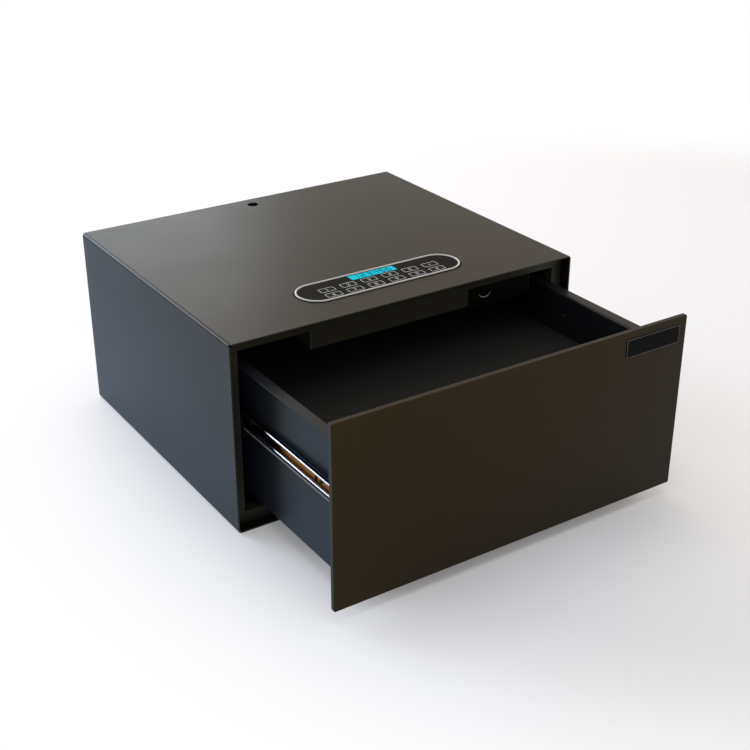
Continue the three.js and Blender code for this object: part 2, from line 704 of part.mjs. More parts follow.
// A screw or rivet whose head stands on a face at a place, on the side that the sign gives
function addScrew(name, axis, place, headSign, shankLength, headRadius = screwHeadRadius,
  headHeight = screwHeadHeight) {
  const along = { x: 0, y: 1 }[axis];
  const headFoot = place[along] + headSign * seatGap;
  const tip = place[along] - headSign * shankLength;
  const headStart = [...place];
  headStart[along] = Math.min(headFoot, headFoot + headSign * headHeight);
  const head = bar(axis, headStart, headRadius, headHeight, 16);
  const shankStart = [...place];
  shankStart[along] = Math.min(tip, headFoot + headSign * headHeight / 2);
  const shankFull = shankLength + seatGap + headHeight / 2;
  addPiece(name, join(head, bar(axis, shankStart, screwShankRadius, shankFull, 12)), zincSteel);
}

// Screws of the drawer front and the single screw on the tray's right wall
function addTrayScrews() {
  const names = ['low_left', 'low_right', 'high_left', 'high_right'];
  frontScrewPlaces().forEach(([x, z], index) => {
    addScrew(`front_screw_${names[index]}`, 'y', [x, trayFront + traySheet, z], 1,
      traySheet + seatGap + frontScrewDepth);
  });
  addScrew('tray_side_screw', 'x', [trayInnerHalf, trayFront + sideScrewFromFront, trayTop - sideScrewDrop],
    -1, traySheet + screwTip);
}

addCabinet();
addFrontFrame();
addHousing();
addBatteries();
addKeypad();
addLock();
addTray();
addInnerFloor();
addDrawerFront();
addSlide(-1, 'left');
addSlide(1, 'right');
addTrayScrews();

// The origin goes under the middle of the whole object as it stands, drawer out
const wholeFront = -drawerPulled - seatGap - badgeSheet;
assembly.position.y = -(cabinetDepth + wholeFront) / 2;

export default assembly;
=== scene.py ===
# Looks of an under desk drawer safe with a keypad in its top, its drawer standing open
import json
import math
import bmesh
import bpy
import numpy as np
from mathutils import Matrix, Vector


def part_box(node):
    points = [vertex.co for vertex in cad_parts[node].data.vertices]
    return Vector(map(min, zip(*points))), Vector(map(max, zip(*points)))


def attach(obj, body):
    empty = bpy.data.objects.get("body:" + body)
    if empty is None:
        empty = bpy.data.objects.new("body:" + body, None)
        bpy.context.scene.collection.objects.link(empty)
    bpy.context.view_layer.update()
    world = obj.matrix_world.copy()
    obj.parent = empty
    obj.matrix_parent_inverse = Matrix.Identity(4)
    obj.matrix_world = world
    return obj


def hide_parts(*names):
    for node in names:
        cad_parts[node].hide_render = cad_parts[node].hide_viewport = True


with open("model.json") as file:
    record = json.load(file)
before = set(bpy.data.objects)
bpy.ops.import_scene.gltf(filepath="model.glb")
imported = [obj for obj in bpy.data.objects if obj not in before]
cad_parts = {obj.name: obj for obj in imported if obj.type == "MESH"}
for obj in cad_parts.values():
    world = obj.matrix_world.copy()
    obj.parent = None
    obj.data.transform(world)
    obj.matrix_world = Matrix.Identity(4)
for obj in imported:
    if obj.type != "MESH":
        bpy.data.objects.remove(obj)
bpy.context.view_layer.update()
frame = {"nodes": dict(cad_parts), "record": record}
bodyOf = {node: body for body, nodes in frame["record"]["behaviour"]["bodies"].items() for node in nodes}

mm = 0.001
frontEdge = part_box("outer_shell")[0][1]  # the cabinet's front edge; lengths along y are counted from it


# Frame boxes in millimetres, with y counted from the cabinet's front edge

def nodeBox(node):
    low, high = np.array(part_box(node), float)
    shift = np.array([0, frontEdge, 0])
    return (low - shift) / mm, (high - shift) / mm


def nodeSizes(node):
    # a node's box, with its middle and its half size
    low, high = nodeBox(node)
    return low, high, (low + high) / 2, (high - low) / 2


def placeObject(name, data):
    # a new object in the scene, at the origin
    thing = bpy.data.objects.new(name, data)
    bpy.context.scene.collection.objects.link(thing)
    return thing


# Camera, as the photograph was taken, and the light

cameraView = {
    "place": (-751.0, -1069.0, 783.0),       # mm: x from the middle, y from the front edge, z up
    "turn": 33.27,                           # degrees to the right of straight at the front
    "down": 26.56,                           # degrees below level
    "lens": 62.64,                           # mm, on a sensor 36 mm wide
}


def makeCamera(view):
    data = bpy.data.cameras.new("camera")
    data.lens = view["lens"]
    data.sensor_width = 36
    data.clip_end = 20
    camera = placeObject("camera", data)
    camera.location = np.array(view["place"]) * mm + [0, frontEdge, 0]
    camera.rotation_euler = (math.radians(90 - view["down"]), 0, -math.radians(view["turn"]))
    bpy.context.scene.camera = camera


def hexColour(text):
    # sRGB hex to linear, the standard curve
    channels = np.array([int(text[i:i + 2], 16) for i in (1, 3, 5)]) / 255
    linear = np.where(channels <= 0.04045, channels / 12.92, ((channels + 0.055) / 1.055) ** 2.4)
    return (*linear.tolist(), 1.0)


def addLamp(name, place, aim, size, power, tint):
    data = bpy.data.lights.new(name, "AREA")
    data.shape = "RECTANGLE"
    data.size, data.size_y = size
    data.energy = power
    data.color = hexColour(tint)[:3]
    lamp = placeObject(name, data)
    lamp.location = place
    toward = np.array(aim) - np.array(place)
    flat = math.hypot(toward[0], toward[1])
    lamp.rotation_euler = (math.atan2(flat, -toward[2]), 0, math.atan2(toward[1], toward[0]) - math.pi / 2)
    lamp.visible_camera = False  # so no lamp stands in a view from another side


lampPlan = {  # metres and watts
    "overhead": dict(place=(0.0, 0.1, 3.4), aim=(0, 0, 0),
                     size=(3.0, 3.0), power=48, tint="#f8fbff"),
    "frontRight": dict(place=(1.3, -2.6, 1.4), aim=(0.1, -0.3, 0.1),
                       size=(1.6, 1.2), power=5, tint="#ffd296"),
    "backLeft": dict(place=(-1.35, 2.6, 1.15), aim=(0, 0, 0.1),
                     size=(1.6, 1.1), power=58, tint="#d6e3ff"),
    "backCard": dict(place=(0.45, 3.0, 1.3), aim=(0, 0.2, 0.2),
                     size=(1.8, 1.2), power=20, tint="#ffe4cc"),
}


# Materials

def addNode(owner, kind, settings=(), links=()):
    # adds one node to a material or the world; settings are its properties, its sockets or the stops of
    # a ramp, and links join its inputs to other nodes' outputs
    tree = owner.node_tree
    node = tree.nodes.new(kind)
    for name, value in dict(settings).items():
        if name == "stops":
            for stop, (place, hexText) in zip(node.color_ramp.elements, value):
                stop.position, stop.color = place, hexColour(hexText)
        elif isinstance(name, int) or name in node.inputs:
            node.inputs[name].default_value = value
        else:
            setattr(node, name, value)
    for name, source in dict(links).items():
        tree.links.new(source, node.inputs[name])
    return node


def newMaterial(name, hexText, roughness, metallic=0.0, **sockets):
    # sockets are more of the shader's inputs, with _ for a space and colours as hex
    material = bpy.data.materials.new(name)
    material.use_nodes = True
    shader = material.node_tree.nodes["Principled BSDF"]
    for socket, value in dict(Base_Color=hexText, Roughness=roughness, Metallic=metallic, **sockets).items():
        value = hexColour(value) if isinstance(value, str) else value
        shader.inputs[socket.replace("_", " ")].default_value = value
    return material, shader


def grain(material, size, detail, stretch=(1, 1, 1)):
    # an uneven pattern with spots of one size in mm, in the piece's own coordinates
    place = addNode(material, "ShaderNodeTexCoord")
    scaled = addNode(material, "ShaderNodeMapping", {"Scale": stretch}, {"Vector": place.outputs["Object"]})
    noise = addNode(material, "ShaderNodeTexNoise", {"Scale": 1 / (size * mm), "Detail": detail},
                    {"Vector": scaled.outputs["Vector"]})
    return noise.outputs["Fac"]


def surfaceFeel(material, shader, relief, height, gloss=None, smooth=0.0, rough=0.0):
    # relief raises the surface by height in mm; gloss moves its roughness from smooth to rough
    bump = addNode(material, "ShaderNodeBump", {"Distance": height * mm, "Strength": 1.0},
                   {"Height": relief})
    material.node_tree.links.new(bump.outputs["Normal"], shader.inputs["Normal"])
    if gloss:
        spread = addNode(material, "ShaderNodeMapRange", {"To Min": smooth, "To Max": rough},
                         {"Value": gloss})
        material.node_tree.links.new(spread.outputs["Result"], shader.inputs["Roughness"])


def powderCoat(name, hexText, roughness=0.33, metallic=0.65):
    # polyester powder baked on steel, satin: brown seen head-on, a soft grey mirror seen along it,
    # with a fine orange peel that blurs what it mirrors
    peel = {"wave": 1.6, "height": 0.006, "cloud": 70.0}  # mm
    material, shader = newMaterial(name, hexText, roughness, metallic, Specular_IOR_Level=0.15,
                                   Specular_Tint="#d8edff", Sheen_Weight=0.05, Sheen_Roughness=0.5,
                                   Sheen_Tint="#8fb8ff")
    surfaceFeel(material, shader, grain(material, peel["wave"], 2.0), peel["height"],
                grain(material, peel["cloud"], 3.0), roughness - 0.03, roughness + 0.04)
    return material


def zincPlate(name, hexText, roughness=0.15, edgeHex="#ffffff"):
    # bright zinc on cold rolled steel: fine streaks run along the rolling direction, y
    streak = {"width": 0.7, "length": 60.0, "height": 0.004}  # mm
    material, shader = newMaterial(name, hexText, roughness, metallic=1.0, Specular_Tint=edgeHex)
    streaks = grain(material, streak["width"], 3.0, (1, streak["width"] / streak["length"], 1))
    surfaceFeel(material, shader, streaks, streak["height"], streaks, roughness - 0.04, roughness + 0.05)
    return material


def zincShadedAlongY(name, hexText, shadeHex, roughness, edgeHex, litUntil, shadedFrom):
    # a zinc plate whose colour fades from hexText to shadeHex between two places along y, in mm from the
    # cabinet's
    # front edge: painted shade on its inner end, where the cabinet's shadow falls
    material = zincPlate(name, hexText, roughness, edgeHex)
    place = addNode(material, "ShaderNodeTexCoord")
    along = addNode(material, "ShaderNodeSeparateXYZ", {}, {"Vector": place.outputs["Object"]})
    share = addNode(material, "ShaderNodeMapRange",
                    {"From Min": frontEdge + litUntil * mm, "From Max": frontEdge + shadedFrom * mm},
                    {"Value": along.outputs["Y"]})
    tone = addNode(material, "ShaderNodeValToRGB", {"stops": [(0.0, hexText), (1.0, shadeHex)]},
                   {"Fac": share.outputs["Result"]})
    shader = material.node_tree.nodes["Principled BSDF"]
    material.node_tree.links.new(tone.outputs["Color"], shader.inputs["Base Color"])
    return material


def mouldedPlastic(name, hexText, roughness, grit=0.45, height=0.008, ior=1.49):
    # injection moulded plastic or rubber from a spark eroded mould: an even fine grain
    material, shader = newMaterial(name, hexText, roughness, IOR=ior)
    grits = grain(material, grit, 1.0)
    surfaceFeel(material, shader, grits, height, grits, roughness - 0.04, roughness + 0.06)
    return material


def speckled(name, hexText, otherHex, roughness, size, metallic=0.0):
    # two close tones in clouds of one size, for phosphated or lacquered surfaces
    material, shader = newMaterial(name, hexText, roughness, metallic)
    clouds = grain(material, size, 4.0)
    tone = addNode(material, "ShaderNodeValToRGB", {"stops": [(0.35, hexText), (0.65, otherHex)]},
                   {"Fac": clouds})
    material.node_tree.links.new(tone.outputs["Color"], shader.inputs["Base Color"])
    surfaceFeel(material, shader, clouds, 0.01)
    return material


def backlitFilm(name, hexText, dimHex, brightHex):
    # printed film over a light guide: an even glow, a little brighter in soft spots where the lamps sit
    spots = 9.0  # mm
    material, shader = newMaterial(name, hexText, 0.4, IOR=1.06, Emission_Strength=0.55)
    glow = addNode(material, "ShaderNodeValToRGB", {"stops": [(0.3, dimHex), (0.7, brightHex)]},
                   {"Fac": grain(material, spots, 1.0)})
    material.node_tree.links.new(glow.outputs["Color"], shader.inputs["Emission Color"])
    return material


# Outside and drawer front: brown, greying towards the light
bronzeCoat = powderCoat("bronzePowderCoat", "#30250e", metallic=0.7)
# Set back frame, apron and the shell's front edge: a copy of the coat, olive and less metallic, that paints
# the light in the recess
recessLitCoat = powderCoat("bronzePowderCoatInRecess", "#3a382d", metallic=0.2)
# Tray: a copy of the coat, colder and greyer, that paints how the tray is lit; its outer sides mirror the
# pale floor
trayLitCoat = powderCoat("bronzePowderCoatOnTray", "#2a2823", metallic=0.7)
# Inner floor: nearly black in the shade, through a copy of the coat made lighter and less metallic: painted
# light
trayFloorLitCoat = powderCoat("bronzePowderCoatInTray", "#2f2c25", metallic=0.45)
# A pale copy of the coat for the apron's hem: a painted highlight
highlightCoat = powderCoat("rubbedPowderCoatEdge", "#5d5b52", metallic=0.2)
# Plated steel: sharp, slightly blue lights, and black between them
zinc = zincPlate("brightZincPlate", "#b4bac6", 0.12)
# The channel's web: a golden painted reflection of warm light, darkened towards the cabinet as painted shade
webReflectionAndShade = zincShadedAlongY("greasedYellowZinc", "#8a6a50", "#2a2928", 0.22, "#bd9a72", litUntil=-68, shadedFrom=-46)
# Cabinet's channels, brackets and most screws: a smoky dark metal, zinc darkened as painted shade
shadedZinc = zincPlate("blackPassivatedZinc", "#333330", 0.35)
# Painted dark reflection and shade on the flanges: black on the upper race, grey on the lower race and the
# lip's outer face
darkRacePaint = mouldedPlastic("blackBearingGrease", "#08080b", 0.5, 0.8, 0.01, ior=1.15)
greyRacePaint = mouldedPlastic("greyBearingGrease", "#413f42", 0.45, 0.8, 0.01, ior=1.3)
# The lower lip's edge: a thin pale line, a painted highlight
lipHighlightPaint = mouldedPlastic("deburredSheetEdge", "#b4b8c2", 0.5, 0.8, 0.004, ior=1.3)
# Bearing balls: the brightest metal, seen only between the channels
ballSteel = zincPlate("chromeBallSteel", "#cfd2d6", 0.12)
# Battery box and cover: matt black, hardly lighter than the opening
coverAbs = mouldedPlastic("blackAbsCover", "#0a0a09", 0.5, ior=1.12)
# Pale plastics that paint highlights: a light line on the notch, a greyer one on the cover's side
notchHighlightAbs = mouldedPlastic("burnishedAbsEdge", "#a8a69e", 0.35, 0.5, 0.003)
sideHighlightAbs = mouldedPlastic("greyAbsEdge", "#4c4b46", 0.4, 0.5, 0.003)
# Keypad's field and its keys: two near blacks, told apart by their print
matteFilm = mouldedPlastic("mattePolycarbonateFilm", "#1e1f1e", 0.55, 0.3, 0.003, ior=1.07)
keyRubber = mouldedPlastic("siliconeRubberKeys", "#1f1f1f", 0.55, 0.35, 0.005, ior=1.08)
# Gasket: black rubber without a gleam; the same black, as painted shade, fills the mitre notches and the
# slides' slots
blackRubber = mouldedPlastic("blackRubber", "#070707", 0.7, ior=1.06)
# Numbers and outlines on the keys: flat off-white ink
whitePrint = mouldedPlastic("whiteScreenPrint", "#c4c4be", 0.6, 0.25, 0.002, ior=1.2)
# Bezel: a pale painted plastic with one soft light round its crown
satinSilver = mouldedPlastic("satinSilverAbs", "#c2c2be", 0.22, 0.5, 0.003)
# Badge plate: blue black, with a fine bright line where the bevel bares the metal
anodisedPlate = mouldedPlastic("blackAnodisedPlate", "#0a0a0b", 0.4, 0.6, 0.003, ior=1.12)
brightEdge = mouldedPlastic("polishedPlateEdge", "#75767a", 0.3, 0.5, 0.003)
# Inside: green board, grey blue phosphated steel, cells in blue film
boardLacquer = speckled("greenBoardLacquer", "#1e5a35", "#236540", 0.35, 6.0)
oxideSteel = speckled("phosphatedSteel", "#3c3f42", "#4a4d50", 0.45, 3.0, metallic=0.9)
cellFilm = mouldedPlastic("shrinkFilm", "#2f4a66", 0.28)
# Display: cyan light with dark blue segments
litDisplay = backlitFilm("backlitDisplay", "#05788c", "#12c6dc", "#18dcee")
displayInk = mouldedPlastic("displaySegments", "#04223e", 0.35, 0.4, 0.001, ior=1.06)
print("materials made")


# Shapes: grids of points and their faces

def gridFaces(rows, columns, closeRows):
    # quads between neighbouring points of a grid; each row closes on itself, and with closeRows the last
    # row joins the first
    r = np.arange(rows if closeRows else rows - 1)[:, None]
    c = np.arange(columns)[None, :]
    nextR = (r + 1) % rows
    nextC = (c + 1) % columns
    quads = np.stack([r * columns + c, r * columns + nextC, nextR * columns + nextC, nextR * columns + c], -1)
    return quads.reshape(-1, 4)


def gridShell(points, closeRows=False, caps=True):
    # points is rows x columns x 3; caps close the first and last rows with one face each
    rows, columns = points.shape[:2]
    faces = gridFaces(rows, columns, closeRows).tolist()
    if caps and not closeRows:
        first = np.arange(columns)
        faces += [first[::-1].tolist(), (first + (rows - 1) * columns).tolist()]
    return points.reshape(-1, 3), faces


def joinShells(shells):
    # several shells as one, their faces' numbers moved on by the points before them
    points, faces, start = [], [], 0
    for shellPoints, shellFaces in shells:
        points.append(shellPoints)
        faces += [(np.array(face) + start).tolist() for face in shellFaces]
        start += len(shellPoints)
    return np.concatenate(points), faces


def roundedOutline(halfX, halfY, radius, steps=6, centre=(0, 0)):
    # four quarter circles round a rectangle's corners, with the outward direction at each point
    quarter = np.linspace(0, math.pi / 2, steps)
    angles = (np.arange(4)[:, None] * math.pi / 2 + quarter).ravel()
    direction = np.stack([np.cos(angles), np.sin(angles)], -1)
    cornerX = np.repeat([1, -1, -1, 1], steps) * (halfX - radius)
    cornerY = np.repeat([1, 1, -1, -1], steps) * (halfY - radius)
    corners = np.stack([cornerX, cornerY], -1) + np.array(centre)
    return corners + radius * direction, direction


def roundEnded(halfX, halfY, steps, centre, hair=0.01):
    # an outline with full half circles at its ends, but for a hair of straight line, so no points meet
    return roundedOutline(halfX, halfY, min(halfX, halfY) - hair, steps, centre)


def upright(outline, heights):
    # an outline in x and y, or one for each height, as rows of points with z
    flat = np.broadcast_to(outline, (len(heights),) + outline.shape[-2:])
    z = np.broadcast_to(np.array(heights)[:, None], flat.shape[:2])
    return np.concatenate([flat, z[..., None]], -1)


def frontal(points):
    # swaps a shape drawn in x and y with height z into one drawn in x and z with depth y
    return points[..., [0, 2, 1]]


def platePoints(outline, direction, low, high, edge, steps=4):
    # a plate whose two rims are quarter circles of radius edge: the inset is edge * (1 - sine) of the turn,
    # the height edge * (1 - cosine)
    turn = np.linspace(0, math.pi / 2, steps)
    inset = np.concatenate([edge * (1 - np.sin(turn)), edge * (1 - np.sin(turn[::-1]))])
    height = np.concatenate([low + edge * (1 - np.cos(turn)), high - edge * (1 - np.cos(turn[::-1]))])
    rings = outline[None] - inset[:, None, None] * direction[None]
    return upright(rings, height)


def ringPoints(outline, direction, profile):
    # a profile of (outset, height) pairs carried round an outline, closed both ways
    profile = np.array(profile, float)
    rings = outline[None] + profile[:, 0][:, None, None] * direction[None]
    return upright(rings, profile[:, 1])


def bentPath(corners, radius, steps):
    # a line through corners whose bends are arcs of one radius, with the left-hand normal at each point
    corners = np.array(corners, float)
    pieces = [corners[:1]]
    for before, corner, after in zip(corners[:-2], corners[1:-1], corners[2:]):
        inward = (before - corner) / np.linalg.norm(before - corner)
        outward = (after - corner) / np.linalg.norm(after - corner)
        half = math.acos(np.clip(inward @ outward, -1, 1)) / 2
        reach = radius / math.tan(half)
        bisector = (inward + outward) / np.linalg.norm(inward + outward)
        centre = corner + bisector * radius / math.sin(half)
        start = corner + inward * reach - centre
        end = corner + outward * reach - centre
        share = np.linspace(0, 1, steps)[:, None]
        sweep = math.pi - 2 * half
        arc = (np.sin((1 - share) * sweep) * start + np.sin(share * sweep) * end) / math.sin(sweep)
        pieces.append(centre + arc)
    pieces.append(corners[-1:])
    path = np.concatenate(pieces)
    step = np.diff(path, axis=0)
    step /= np.linalg.norm(step, axis=1)[:, None]
    tangent = np.concatenate([step[:1], step[:-1] + step[1:], step[-1:]])
    tangent /= np.linalg.norm(tangent, axis=1)[:, None]
    return path, np.stack([-tangent[:, 1], tangent[:, 0]], -1)


def stripOutline(corners, radius, sheet, steps):
    # a bent line given a thickness: half a sheet to each side
    path, normal = bentPath(corners, radius, steps)
    half = normal * sheet / 2
    return np.concatenate([path + half, (path - half)[::-1]])


def alongY(outline, near, far):
    # an outline in x and z carried from one y to another
    rows = [np.stack([outline[:, 0], np.full(len(outline), y), outline[:, 1]], -1) for y in (near, far)]
    return gridShell(np.array(rows))


def blockShell(low, high, edge):
    # a block with softly rounded upright corners and rims
    low, high = np.array(low, float), np.array(high, float)
    half = (high - low) / 2
    centre = (high + low) / 2
    outline, direction = roundedOutline(half[0], half[1], edge * 1.5, 4, centre[:2])
    return gridShell(platePoints(outline, direction, low[2], high[2], edge, 3))


def finalMesh(thing):
    # the mesh that an object's modifiers or a text's curves come to
    bpy.context.view_layer.update()
    return bpy.data.meshes.new_from_object(thing.evaluated_get(bpy.context.evaluated_depsgraph_get()))


def finishMesh(piece, bevel=0.0, smoothAngle=50):
    # a bevel on the sharp edges, then normals weighted by face area, so flat faces stay flat
    if bevel:
        edges = piece.modifiers.new("edges", "BEVEL")
        edges.width = bevel * mm
        edges.segments = 2
        edges.limit_method = "ANGLE"
        edges.angle_limit = math.radians(35)
    shaped = finalMesh(piece)
    piece.modifiers.clear()
    piece.data = shaped
    shaped.polygons.foreach_set("use_smooth", np.ones(len(shaped.polygons), bool))
    shaped.set_sharp_from_angle(angle=math.radians(smoothAngle))
    weighted = piece.modifiers.new("flat faces", "WEIGHTED_NORMAL")
    weighted.keep_sharp = True
    weighted.weight = 100
    final = finalMesh(piece)
    piece.modifiers.clear()
    piece.data = final
    final.name = piece.name


def solidMesh(name, shell, materials=(), faceMaterial=None):
    # points in millimetres and their faces as a mesh, merged, its faces pointing outwards
    points, faces = shell
    mesh = bpy.data.meshes.new(name)
    mesh.from_pydata((points * mm + [0, frontEdge, 0]).tolist(), [], faces)
    for material in materials:
        mesh.materials.append(material)
    if faceMaterial is not None:
        mesh.polygons.foreach_set("material_index", np.asarray(faceMaterial, np.int32))
    tidy = bmesh.new()
    tidy.from_mesh(mesh)
    bmesh.ops.remove_doubles(tidy, verts=tidy.verts, dist=1e-6)
    bmesh.ops.dissolve_degenerate(tidy, edges=tidy.edges, dist=1e-7)
    bmesh.ops.recalc_face_normals(tidy, faces=tidy.faces)
    tidy.to_mesh(mesh)
    tidy.free()
    return mesh


def addPiece(name, shell, materials, body, replaces=(), bevel=0.0, faceMaterial=None,
             smoothAngle=50, cutters=()):
    # makes a piece, cuts it by the cutters, finishes it and lets it ride on a body
    materials = materials if isinstance(materials, list) else [materials]
    piece = placeObject(name, solidMesh(name, shell, materials, faceMaterial))
    for cutter in cutters:
        cut = piece.modifiers.new("cut", "BOOLEAN")
        cut.object = cutter
        cut.solver = "EXACT"
    finishMesh(piece, bevel, smoothAngle)
    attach(piece, body)
    if replaces:
        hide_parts(*replaces)


def softenNode(node, name, material, bevel):
    # a copy of a node's mesh, merged, with its flat faces whole again and its edges bevelled by bevel in mm
    mesh = frame["nodes"][node].data.copy()
    tidy = bmesh.new()
    tidy.from_mesh(mesh)
    bmesh.ops.remove_doubles(tidy, verts=tidy.verts, dist=1e-6)
    bmesh.ops.dissolve_limit(tidy, angle_limit=math.radians(1), verts=tidy.verts, edges=tidy.edges)
    tidy.to_mesh(mesh)
    tidy.free()
    mesh.materials.clear()
    mesh.materials.append(material)
    mesh.polygons.foreach_set("material_index", np.zeros(len(mesh.polygons), np.int32))
    piece = placeObject(name, mesh)
    finishMesh(piece, bevel)
    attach(piece, bodyOf[node])
    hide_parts(node)


def addCutter(shell):
    # a solid that only cuts another; dropCutters takes it away again
    return placeObject("cutter", solidMesh("cutter", shell))


def dropCutters(cutters):
    for cutter in cutters:
        bpy.data.objects.remove(cutter)


# Cabinet: the wrapped shell, its back and the set back frame

shellLow, shellHigh = nodeBox("outer_shell")
cabinet = {
    "sheet": 2.0, "bend": 4.0, "edge": 0.5,
    "cableHole": 7.0, "cableHoleFromBack": 21.0,
    "anchorHole": 5.0, "anchorX": 150.0, "anchorY": 80.0,
    "underBezel": 1.2,                       # how far the keypad's bezel covers the sheet round its cut-out
    "relief": 2.0, "reliefDepth": 3.0,       # the notches at the front ends of the two upper bends
    "reliefFrom": 0.6,                       # how far inside the corner their middle is
    "reliefOut": 4.0, "reliefIn": 0.8,       # their reach outwards, and its share that they reach inwards
    # the black bead of painted shade in each notch: its size and place
    "sealOver": 0.1, "sealDepth": 0.3,       # how much wider than the notch, and below the bend's surface
    "sealFrom": 0.8,                         # behind the front edge
    "hem": 0.9, "hemHeight": 20.0, "hemProud": 0.3, "hemDepth": 1.0, "hemEdge": 0.2,
    "frameEdge": 0.5, "backEdge": 0.35, "housingEdge": 0.3,  # the bevels: less on thinner sheet
}


def makeCabinet(c):
    depth = shellHigh[1] - shellLow[1]
    centre = (0, (shellLow[2] + shellHigh[2]) / 2)
    outline, direction = roundedOutline(shellHigh[0], (shellHigh[2] - shellLow[2]) / 2, c["bend"], 9, centre)
    e, t = c["edge"], c["sheet"]
    # the sheet's cut edges are quarter circles: across its thickness and along the cabinet's depth
    middle = np.array([(-e, e), (e - t, e), (e - t, depth - e), (-e, depth - e)])
    steps = 5
    turn = np.radians(np.array([0, -90, -180, -270])[:, None] - np.linspace(0, 90, steps))
    profile = (middle[:, None] + e * np.stack([np.cos(turn), np.sin(turn)], -1)).reshape(-1, 2)
    rings = ringPoints(outline, direction, profile)
    shell = gridShell(frontal(rings), closeRows=True)
    frontRows = np.arange(len(profile)) < 2 * steps - 1  # the sheet's front edge and its two rims
    holePlan = [((0, depth - c["cableHoleFromBack"]), c["cableHole"], shellHigh[2])]
    for x in (-c["anchorX"], c["anchorX"]):
        for y in (c["anchorY"], depth - c["anchorY"]):
            holePlan.append(((x, y), c["anchorHole"], t))
    cutters = []
    for place, radius, top in holePlan:
        circle, _ = roundEnded(radius, radius, 12, place, hair=0.001)
        cutters.append(addCutter(gridShell(upright(circle, [top - 2 * t, top + t]))))
    _, _, bezelMiddle, bezelHalf = nodeSizes("keypad_bezel")
    halfKeypad = bezelHalf - c["underBezel"]
    keypadHole, _ = roundEnded(halfKeypad[0], halfKeypad[1], 16, bezelMiddle[:2])
    cutters.append(addCutter(gridShell(upright(keypadHole, [shellHigh[2] - 2 * t, shellHigh[2] + t]))))
    for side, word in ((-1, "Left"), (1, "Right")):
        # the mitre notch runs in diagonally from just inside the corner, relief wide
        corner = np.array([side * (shellHigh[0] - c["reliefFrom"]), shellHigh[2] - c["reliefFrom"]])
        across = np.array([1.0, -side]) / math.sqrt(2) * c["relief"] / 2
        along = np.array([side, 1.0]) / math.sqrt(2) * c["reliefOut"]
        inward = along * c["reliefIn"]
        slot = np.array([corner + across + along, corner - across + along, corner - across - inward,
                         corner + across - inward])
        cutters.append(addCutter(alongY(slot, -1.0, c["reliefDepth"])))
        # a black bead in the notch, just under the bend's own surface: painted shade
        radius = c["relief"] / 2 + c["sealOver"]
        depthBelow = c["bend"] * (1 - math.sqrt(0.5)) + (radius + c["sealDepth"]) * math.sqrt(0.5)
        centre = (side * (shellHigh[0] - depthBelow), shellHigh[2] - depthBelow)
        bead, _ = roundEnded(radius, radius, 6, centre)
        addPiece(f"mitreNotchShade{word}", alongY(bead, c["sealFrom"], c["reliefDepth"]), blackRubber, "cabinet")
    # the sheet's front edge and its two rims take the recess's copy of the coat: painted light
    addPiece("cabinetShell", shell, [bronzeCoat, recessLitCoat], "cabinet", ["outer_shell"],
             faceMaterial=np.repeat(frontRows, len(outline)), cutters=cutters)
    dropCutters(cutters)
    softenNode("back_panel", "backPanel", bronzeCoat, c["backEdge"])
    softenNode("front_frame", "frontFrame", recessLitCoat, c["frameEdge"])
    softenNode("electronics_housing", "electronicsHousing", recessLitCoat, c["housingEdge"])
    housingLow, _ = nodeBox("electronics_housing")
    frameLow, _ = nodeBox("front_frame")
    # the apron's hem at its left end, in the pale coat of a painted highlight
    strip = blockShell((housingLow[0], frameLow[1] - c["hemProud"], housingLow[2]),
                       (housingLow[0] + c["hem"], frameLow[1] + c["hemDepth"],
                        housingLow[2] + c["hemHeight"]), c["hemEdge"])
    addPiece("apronHem", strip, highlightCoat, "cabinet")
    print("cabinet made")


# Battery box, its cover and its cells

battery = {
    "notchX": 109.9, "notchZ": 204.3, "notchRadius": 9.9,
    "lipRadius": 0.6, "lipSunk": 0.3, "lipFrom": 205, "lipSweep": 125,  # the last two in degrees
    # the pale strip up the cover's right side: a painted highlight
    "stripWidth": 0.5, "stripFoot": 190.0, "stripTop": 1.0, "stripProud": 0.15, "stripDepth": 0.8,
    "stripEdge": 0.15,
    "boxEdge": 0.3, "doorEdge": 0.4, "cellEdge": 0.3,
}


def makeBatteries(b):
    softenNode("battery_box", "batteryBox", coverAbs, b["boxEdge"])
    softenNode("battery_door", "batteryDoor", coverAbs, b["doorEdge"])
    low, high = nodeBox("battery_door")
    # the lip of the thumb notch, in pale plastic as a painted highlight: a round bead along the lower part of
    # a circle, thinning as the square root of the sine towards its ends
    share = np.linspace(0.02, 0.98, 25)[:, None]
    turn = np.radians(b["lipFrom"] + b["lipSweep"] * share)
    around = np.linspace(0, 2 * math.pi, 9)[None, :-1]
    thick = b["lipRadius"] * np.sin(np.pi * share) ** 0.5
    reach = b["notchRadius"] + thick * np.cos(around)
    bead = np.stack([b["notchX"] + np.cos(turn) * reach, low[1] + b["lipSunk"] + thick * np.sin(around),
                     b["notchZ"] + np.sin(turn) * reach], -1)
    addPiece("batteryDoorLip", gridShell(bead), notchHighlightAbs, bodyOf["battery_door"])
    strip = blockShell((high[0] - b["stripWidth"], low[1] - b["stripProud"], b["stripFoot"]),
                       (high[0], low[1] + b["stripDepth"], high[2] - b["stripTop"]), b["stripEdge"])
    addPiece("batteryDoorEdge", strip, sideHighlightAbs, bodyOf["battery_door"])
    for index in range(1, 5):
        softenNode(f"battery_cell_{index}", f"batteryCell{index}", cellFilm, b["cellEdge"])
    print("batteries made")


# Keypad: bezel ring with its gasket, body, display and keys

